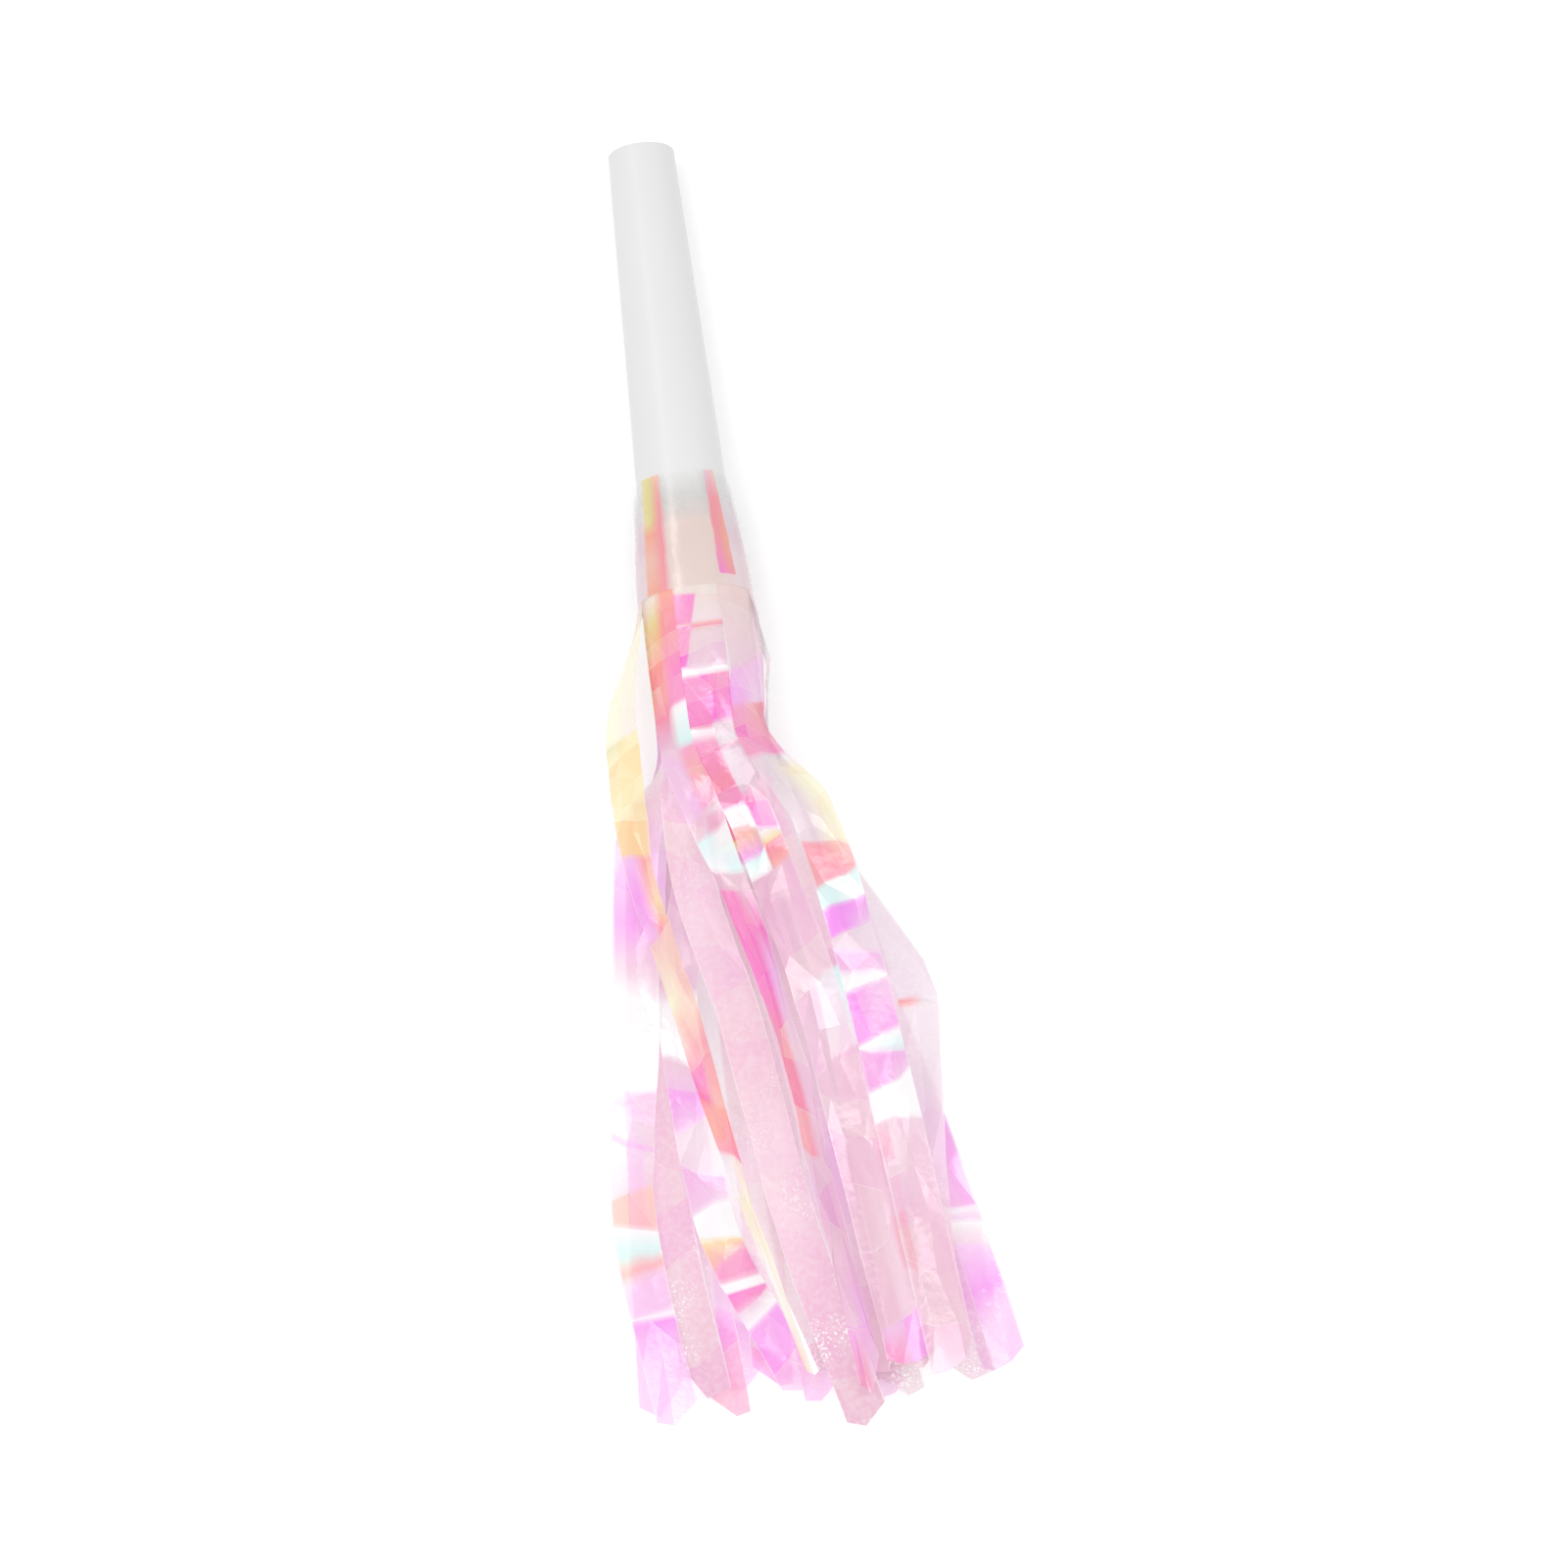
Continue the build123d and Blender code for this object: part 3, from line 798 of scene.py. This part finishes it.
def film_object(name, points, along, across, faces):
    """Single sheet of film, with places along and across it, facets' tints and creases as attributes."""
    columns = len(points[0])
    mesh = bpy.data.meshes.new(name)
    flat_points = [placed(point) for line in points for point in line]
    triangles = [[row * columns + column for row, column in corners] for corners, _, _ in faces]
    mesh.from_pydata(flat_points, [], triangles)
    for title, values in (("along", along), ("across", across)):
        place = mesh.attributes.new(title, "FLOAT", "POINT")
        place.data.foreach_set("value", [value for line in values for value in line])
    facet = mesh.attributes.new("facet", "FLOAT", "FACE")
    facet.data.foreach_set("value", [tint for _, tint, _ in faces])
    crease = mesh.attributes.new("crease", "FLOAT_VECTOR", "CORNER")
    shares = [share for _, _, spots in faces for spot in spots for share in spot]
    crease.data.foreach_set("vector", shares)
    mesh.shade_smooth()
    mesh.set_sharp_from_angle(angle=math.radians(CREASE_ANGLE))
    film = bpy.data.objects.new(name, mesh)
    bpy.context.scene.collection.objects.link(film)
    return film


def strip_film(wrap, number):
    """One strip of the fringe, creased and crumpled along the route of its solid."""
    rng = random.Random(f"{wrap}-{number}")
    look = LOOKS[WRAP_NAMES[wrap], number + 1]
    reach = FRINGE_REACH * RIBBONS[wrap][number].reach
    cut = RIBBONS[wrap][number].cut
    rows = fold_rows(rng, reach, look)
    columns = FOLD_COLUMNS[wrap]
    sway = COLUMN_SWAY / (len(columns) - 1)
    lattice = []
    for i, place in enumerate(rows):
        loose = 0.0 if i == 0 else min(1.0, ROOT_LOOSENESS + LOOSENING * place / reach)
        free = min(1.0, place / NECK_LENGTH)
        last = i == len(rows) - 1
        room = 0.0 if i == 0 or last else min(rows[i + 1] - place, place - rows[i - 1])
        slant = rng.choice((-1, 1)) * min(FOLD_SLANT * rng.uniform(*SLANT_SPREAD), SLANT_ROOM * room)
        if last:
            slant = cut + rng.uniform(-END_CUT, END_CUT)
        high = 1.0 if last else min(1.0, LOW_FOLD_SHARE + room / HIGH_FOLD_ROOM)
        height = FOLD_HEIGHT * loose * high * (1 - FROST_STIFFNESS * look.frost)
        puff = look.puff * math.exp(-(((place - PUFF_PLACE) / PUFF_LENGTH) ** 2)) if i else 0.0
        line = []
        for side in columns:
            if abs(side) == 1.0:
                share = side * (1 + loose * free * rng.uniform(*EDGE_SWAY))
                lift = height * rng.uniform(-1, 1) * free
            else:
                share = side + loose * rng.uniform(-sway, sway)
                lift = height * rng.uniform(-1, 1)
            lift += puff * rng.uniform(*PUFF_SPREAD)
            cut_back = END_CUT / 2 * abs(side) if last else 0.0
            skew = slant * side + rng.uniform(-ROW_SWAY, ROW_SWAY) * room - cut_back
            line.append(Vector(((place + skew) / reach, share, lift, place / RAMP_LENGTH)))
        lattice.append(line)
    grid = FoldedGrid(lattice, rng)
    places = grid.points()
    points = [[strip_point(wrap, number, *place[:3]) for place in line] for line in places]
    along = [[place[3] for place in line] for line in places]
    across = [[place[1] for place in line] for line in places]
    return film_object(f"film_{WRAP_NAMES[wrap]}_{number + 1}", points, along, across, grid.faces())


def header_film(wrap):
    """Sleeve of film glued round the bell end."""
    rng = random.Random(f"header-{wrap}")
    lattice = []
    for i, s in enumerate(HEADER_ROWS):
        loose = 0.0 if i in (0, len(HEADER_ROWS) - 1) else 1.0
        line = []
        for spoke in range(HEADER_SPOKES):
            turned = spoke + loose * rng.uniform(-SPOKE_SWAY, SPOKE_SWAY)
            angle = 360.0 * turned / HEADER_SPOKES - 180.0
            place = s + loose * rng.uniform(-HEADER_SWAY, HEADER_SWAY)
            lift = loose * rng.uniform(-HEADER_HEIGHT, HEADER_HEIGHT)
            line.append(Vector((place, angle, lift)))
        line.append(line[0] + Vector((0, 360.0, 0)))
        lattice.append(line)
    grid = FoldedGrid(lattice, rng)
    places = grid.points()

    def point(s, angle, lift):
        turn = math.radians(angle)
        outward = RIGHT * math.sin(turn) + UP * math.cos(turn)
        return RIM_CENTRE + FRINGE_WAY * s + outward * (film_radius(wrap, s) + lift)

    points = [[point(*place) for place in line] for line in places]
    along = [[1 + place.x / HEADER_LENGTH for place in line] for line in places]
    across = [[place.y / 180.0 for place in line] for line in places]
    return film_object(f"film_header_{WRAP_NAMES[wrap]}", points, along, across, grid.faces())


def shader(name):
    """New material and its nodes, links and main shader."""
    material = bpy.data.materials.new(name)
    material.use_nodes = True
    tree = material.node_tree
    return material, tree, tree.nodes["Principled BSDF"]


def math_node(tree, operation, first, second):
    node = tree.nodes.new("ShaderNodeMath")
    node.operation = operation
    for socket, value in zip(node.inputs, (first, second)):
        if isinstance(value, (int, float)):
            socket.default_value = value
        else:
            tree.links.new(value, socket)
    return node.outputs[0]


def attribute(tree, name):
    node = tree.nodes.new("ShaderNodeAttribute")
    node.attribute_name = name
    return node.outputs["Fac"]


def crease_highlight(tree, facet):
    """Painted highlight: a thin pale line along the creases, on some facets only."""
    node = tree.nodes.new("ShaderNodeAttribute")
    node.attribute_name = "crease"
    shares = tree.nodes.new("ShaderNodeSeparateXYZ")
    tree.links.new(node.outputs["Vector"], shares.inputs[0])
    line = spread(tree, shares.outputs[1], 1.0, 0.0, *CREASE_HIGHLIGHT_WIDTH)
    shown = spread(tree, facet, 0.0, CREASE_HIGHLIGHT_SHARE, 0.0, CREASE_HIGHLIGHT_SHARE)
    return math_node(tree, "MULTIPLY", line, shown)


def noise(tree, scale, detail):
    place = tree.nodes.new("ShaderNodeTexCoord")
    node = tree.nodes.new("ShaderNodeTexNoise")
    node.inputs["Scale"].default_value = scale
    node.inputs["Detail"].default_value = detail
    tree.links.new(place.outputs["Object"], node.inputs["Vector"])
    return node.outputs["Fac"]


def ramp(tree, place, keys, length):
    """Colour and clearness over a distance along the film."""
    node = tree.nodes.new("ShaderNodeValToRGB")
    stops = node.color_ramp.elements
    while len(stops) < len(keys):
        stops.new(0.5)
    for stop, (distance, _) in zip(stops, keys):
        stop.position = distance / length
    for stop, (_, name) in zip(stops, keys):
        stop.color = (*linear(COLOURS[name]), COLOURS[name][3])
    tree.links.new(place, node.inputs["Fac"])
    return node.outputs["Color"], node.outputs["Alpha"]


def mixed(tree, share, first, second):
    """One colour over another, each a tuple or a node's output."""
    node = tree.nodes.new("ShaderNodeMix")
    node.data_type = "RGBA"
    tree.links.new(share, node.inputs[0])
    for socket, value in ((node.inputs[6], first), (node.inputs[7], second)):
        if isinstance(value, tuple):
            socket.default_value = value
        else:
            tree.links.new(value, socket)
    return node.outputs[2]


def spread(tree, value, low, high, from_low=0.0, from_high=1.0):
    """Value mapped from one range to another and held at its ends."""
    node = tree.nodes.new("ShaderNodeMapRange")
    node.inputs["From Min"].default_value = from_low
    node.inputs["From Max"].default_value = from_high
    node.inputs["To Min"].default_value = low
    node.inputs["To Max"].default_value = high
    tree.links.new(value, node.inputs["Value"])
    return node.outputs["Result"]


def bumped(tree, bsdf, height, strength, distance):
    node = tree.nodes.new("ShaderNodeBump")
    node.inputs["Strength"].default_value = strength
    node.inputs["Distance"].default_value = distance
    tree.links.new(height, node.inputs["Height"])
    tree.links.new(node.outputs["Normal"], bsdf.inputs["Normal"])


def blended(tree, share, first, second):
    """Colour and hiding of one look over another."""
    colour = mixed(tree, share, first[0], second[0])
    hiding = tree.nodes.new("ShaderNodeMix")
    for index, value in ((0, share), (2, first[1]), (3, second[1])):
        tree.links.new(value, hiding.inputs[index])
    return colour, hiding.outputs[0]


def light_rays(tree):
    """One for rays that light a surface, straight from a lamp or from another surface."""
    ray = tree.nodes.new("ShaderNodeLightPath")
    return math_node(tree, "MAXIMUM", ray.outputs["Is Shadow Ray"], ray.outputs["Is Diffuse Ray"])


def film_finish(tree, bsdf, colour, hiding, ripple, frost):
    """Gloss that varies with the ripples, a fine crinkle, and where the film is frosted a pale mottle and
    painted glints as specks.
    """
    if frost:
        # Painted glints: pale specks, gathered in patches that grow stronger further from the rim; the
        # pale mottle below is the frost's own tone
        glint_speck = spread(tree, noise(tree, *GLINT_SPECK), 0.0, frost, *GLINT_SPECK_RANGE)
        patch = spread(tree, noise(tree, *PATCH), 0.0, 1.0, *PATCH_RANGE)
        gathered = spread(tree, attribute(tree, "along"), PATCH_FAINT, 1.0, *PATCH_ALONG)
        patch = math_node(tree, "MULTIPLY", patch, gathered)
        glint_speck = math_node(tree, "MULTIPLY", glint_speck, patch)
        colour = mixed(tree, glint_speck, colour, PALE_TONE_AND_HIGHLIGHT)
        mottle = spread(tree, noise(tree, *MOTTLE), 0.0, MOTTLE_SHARE * frost, *MOTTLE_RANGE)
        colour = mixed(tree, mottle, colour, PALE_TONE_AND_HIGHLIGHT)
    tree.links.new(colour, bsdf.inputs["Base Color"])
    lit = spread(tree, light_rays(tree), 1.0, 1.0 - LIGHT_PASSED)
    tree.links.new(math_node(tree, "MULTIPLY", hiding, lit), bsdf.inputs["Alpha"])
    roughness = [plain + more * frost for plain, more in zip(FILM_ROUGHNESS, FROST_ROUGHNESS)]
    tree.links.new(spread(tree, ripple, *roughness), bsdf.inputs["Roughness"])
    bsdf.inputs["IOR"].default_value = FILM_IOR
    bsdf.inputs["Specular IOR Level"].default_value = FILM_SPECULAR
    bumped(tree, bsdf, noise(tree, *CRINKLE), CRINKLE_STRENGTH, CRINKLE_DEPTH)


def sliding(tree, across, along, slide):
    """Place across the strip, moved more and more up to SLIDE_END, so that the halves part on a slant."""
    end = SLIDE_END / RAMP_LENGTH
    moved = spread(tree, along, 0.0, slide, 0.0, end)
    kept = spread(tree, along, 1.0, 0.0, end, end + SLIDE_FADE / RAMP_LENGTH)
    return math_node(tree, "ADD", across, math_node(tree, "MULTIPLY", moved, kept))


def film_material(name, look):
    """Interference film: colour panels between the folds, some of them painted highlights, whose hue
    turns a little by facet; painted highlights also run along creases and edges.
    """
    material, tree, bsdf = shader(name)
    facet = attribute(tree, "facet")
    across = attribute(tree, "across")
    along = attribute(tree, "along")
    ripple = noise(tree, *RIPPLE)
    panel = ramp(tree, along, look.keys, RAMP_LENGTH)
    if look.right:
        turning = sliding(tree, across, along, look.slide) if look.slide else across
        side = spread(tree, turning, 0.0, 1.0, *look.turns)
        panel = blended(tree, side, panel, ramp(tree, along, look.right, RAMP_LENGTH))
    colour, hiding = panel
    turned = tree.nodes.new("ShaderNodeHueSaturation")
    tree.links.new(spread(tree, facet, *HUES, -1.0, 1.0), turned.inputs["Hue"])
    tree.links.new(spread(tree, facet, *SATURATIONS, -1.0, 1.0), turned.inputs["Saturation"])
    tree.links.new(colour, turned.inputs["Color"])
    # Painted highlight along the creases, muted where the film is frosted; it also makes the film hide
    # more there
    line = math_node(tree, "MULTIPLY", crease_highlight(tree, facet), 1.0 - look.frost)
    colour = mixed(tree, line, turned.outputs[0], PALE_TONE_AND_HIGHLIGHT)
    # Painted highlight: a pale line along both long edges, fading in between about 29 and 50 mm past the
    # rim
    edge = spread(tree, math_node(tree, "ABSOLUTE", across, 0.0), 0.0, EDGE_HIGHLIGHT_SHARE, *EDGE_HIGHLIGHT_RANGE)
    edge = math_node(tree, "MULTIPLY", edge, spread(tree, along, 0.0, 1.0, *EDGE_HIGHLIGHT_ALONG))
    colour = mixed(tree, edge, colour, PALE_TONE_AND_HIGHLIGHT)
    hiding = math_node(tree, "MAXIMUM", hiding, line)
    hiding = math_node(tree, "MULTIPLY", hiding, look.veil)
    film_finish(tree, bsdf, colour, hiding, ripple, look.frost)
    return material


def band(tree, place, start, end, edge=BAND_SOFTNESS):
    """One between two places and nothing outside them."""
    rising = spread(tree, place, 0.0, 1.0, start, start + edge)
    falling = spread(tree, place, 1.0, 0.0, end - edge, end)
    return math_node(tree, "MULTIPLY", rising, falling)


def header_material(name, look, striped):
    """Clear film on the tube; the outer turn shows a coloured stripe on each side of the top."""
    material, tree, bsdf = shader(name)
    ripple = noise(tree, *RIPPLE)
    along = attribute(tree, "along")
    film = ramp(tree, along, look.keys, HEADER_LENGTH)
    if striped:
        wave = spread(tree, ripple, -STRIPE_WAVE, STRIPE_WAVE)
        around = math_node(tree, "ADD", attribute(tree, "across"), wave)
        outward = math_node(tree, "ABSOLUTE", around, 0.0)
        sides = ramp(tree, along, HEADER_SIDES, HEADER_LENGTH)
        film = blended(tree, spread(tree, outward, 0.0, 1.0, *SIDE_MEETING), film, sides)
        stripe = ramp(tree, along, LEFT_STRIPE, HEADER_LENGTH)
        rim = ramp(tree, along, LEFT_EDGE, HEADER_LENGTH)
        stripe = blended(tree, spread(tree, around, 0.0, 1.0, *LEFT_MEETING), stripe, rim)
        film = blended(tree, band(tree, around, *LEFT_BAND, LEFT_SOFTNESS), film, stripe)
        stripe = ramp(tree, along, RIGHT_STRIPE, HEADER_LENGTH)
        rim = ramp(tree, along, RIGHT_EDGE, HEADER_LENGTH)
        stripe = blended(tree, spread(tree, around, 0.0, 1.0, *RIGHT_MEETING), stripe, rim)
        widening = math_node(tree, "ADD", around, math_node(tree, "MULTIPLY", along, RIGHT_SLANT))
        started = band(tree, around, RIGHT_START, RIGHT_REACH)
        shown = math_node(tree, "MULTIPLY", started, band(tree, widening, *RIGHT_BAND))
        shown = math_node(tree, "MULTIPLY", shown, band(tree, along, *RIGHT_LENGTH))
        film = blended(tree, shown, film, stripe)
    film_finish(tree, bsdf, *film, ripple, look.frost)
    return material


def plastic_material(name, colour, rough):
    """Moulded plastic with faint flow marks."""
    material, tree, bsdf = shader(name)
    flow = noise(tree, *FLOW)
    pale = tuple(value * FLOW_SHADE for value in linear(colour)) + (1,)
    full = tuple(linear(colour)) + (1,)
    tree.links.new(mixed(tree, flow, pale, full), bsdf.inputs["Base Color"])
    roughness = spread(tree, flow, rough - ROUGHNESS_SPREAD, rough + ROUGHNESS_SPREAD)
    tree.links.new(roughness, bsdf.inputs["Roughness"])
    bumped(tree, bsdf, noise(tree, *MOULD_GRAIN), GRAIN_STRENGTH, GRAIN_DEPTH)
    return material


def dress_plastic(node, material):
    slots = frame["nodes"][node].data.materials
    slots.clear()
    slots.append(material)


def fringe():
    """Film of every turn: the glued sleeve and its strips."""
    for wrap, name in enumerate(WRAP_NAMES):
        header = header_film(wrap)
        outermost = wrap == len(WRAP_NAMES) - 1
        look = HEADER_LOOK if outermost else UNDER_LOOK
        header.data.materials.append(header_material(header.name, look, striped=outermost))
        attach(header, "horn")
        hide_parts(f"film_wrap_{name}")
        for number in range(COUNT):
            body = f"{name}_strip_{number + 1}"
            film = strip_film(wrap, number)
            film.data.materials.append(film_material(film.name, LOOKS[name, number + 1]))
            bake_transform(film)
            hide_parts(body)


def seen_rays(tree):
    """One for rays that see a surface, straight, mirrored or through something clear."""
    ray = tree.nodes.new("ShaderNodeLightPath")
    seen = math_node(tree, "MAXIMUM", ray.outputs["Is Camera Ray"], ray.outputs["Is Glossy Ray"])
    return math_node(tree, "MAXIMUM", seen, ray.outputs["Is Transmission Ray"])


def studio():
    """White table, even sky and three soft lamps."""
    scene = bpy.context.scene
    scene.view_settings.view_transform = "Standard"
    world = bpy.data.worlds.new("sky")
    scene.world = world
    world.use_nodes = True
    sky = world.node_tree.nodes["Background"]
    sky.inputs["Color"].default_value = WHITE
    seen = seen_rays(world.node_tree)
    strength = spread(world.node_tree, seen, SKY_LIGHT, 1.0)
    world.node_tree.links.new(strength, sky.inputs["Strength"])
    bpy.ops.mesh.primitive_plane_add(size=FLOOR_SIZE)
    floor = bpy.context.object
    floor.name = "floor"
    material, tree, bsdf = shader("table")
    bsdf.inputs["Base Color"].default_value = FLOOR_COLOUR
    bsdf.inputs["Roughness"].default_value = FLOOR_ROUGHNESS
    bsdf.inputs["Specular IOR Level"].default_value = FLOOR_SPECULAR
    bsdf.inputs["Emission Color"].default_value = WHITE
    tree.links.new(spread(tree, seen_rays(tree), 0.0, FLOOR_GLOW), bsdf.inputs["Emission Strength"])
    floor.data.materials.append(material)
    for name, (spot, size, power) in LAMPS.items():
        lamp = bpy.data.lights.new(name, "AREA")
        lamp.size = size
        lamp.energy = power
        holder = bpy.data.objects.new(name, lamp)
        holder.location = spot
        holder.rotation_euler = (-Vector(spot)).to_track_quat("-Z", "Y").to_euler()
        scene.collection.objects.link(holder)


def camera():
    """Looks down along the horn as the photograph does."""
    azimuth, elevation = math.radians(AZIMUTH), math.radians(ELEVATION)
    away = Vector(
        (
            math.sin(azimuth) * math.cos(elevation),
            -math.cos(azimuth) * math.cos(elevation),
            math.sin(elevation),
        )
    )
    lens = bpy.data.cameras.new("camera")
    lens.lens = LENS
    lens.sensor_width = SENSOR_WIDTH
    holder = bpy.data.objects.new("camera", lens)
    holder.location = Vector(TARGET) + away * DISTANCE
    holder.rotation_euler = (-away).to_track_quat("-Z", "Y").to_euler()
    bpy.context.scene.collection.objects.link(holder)
    bpy.context.scene.camera = holder


fringe()
dress_plastic("horn_tube", plastic_material(*TUBE_PLASTIC))
reed = plastic_material(*REED_PLASTIC)
dress_plastic("reed_plug", reed)
dress_plastic("reed_wedge", reed)
dress_plastic("reed_tongue", plastic_material(*TONGUE_PLASTIC))
studio()
camera()
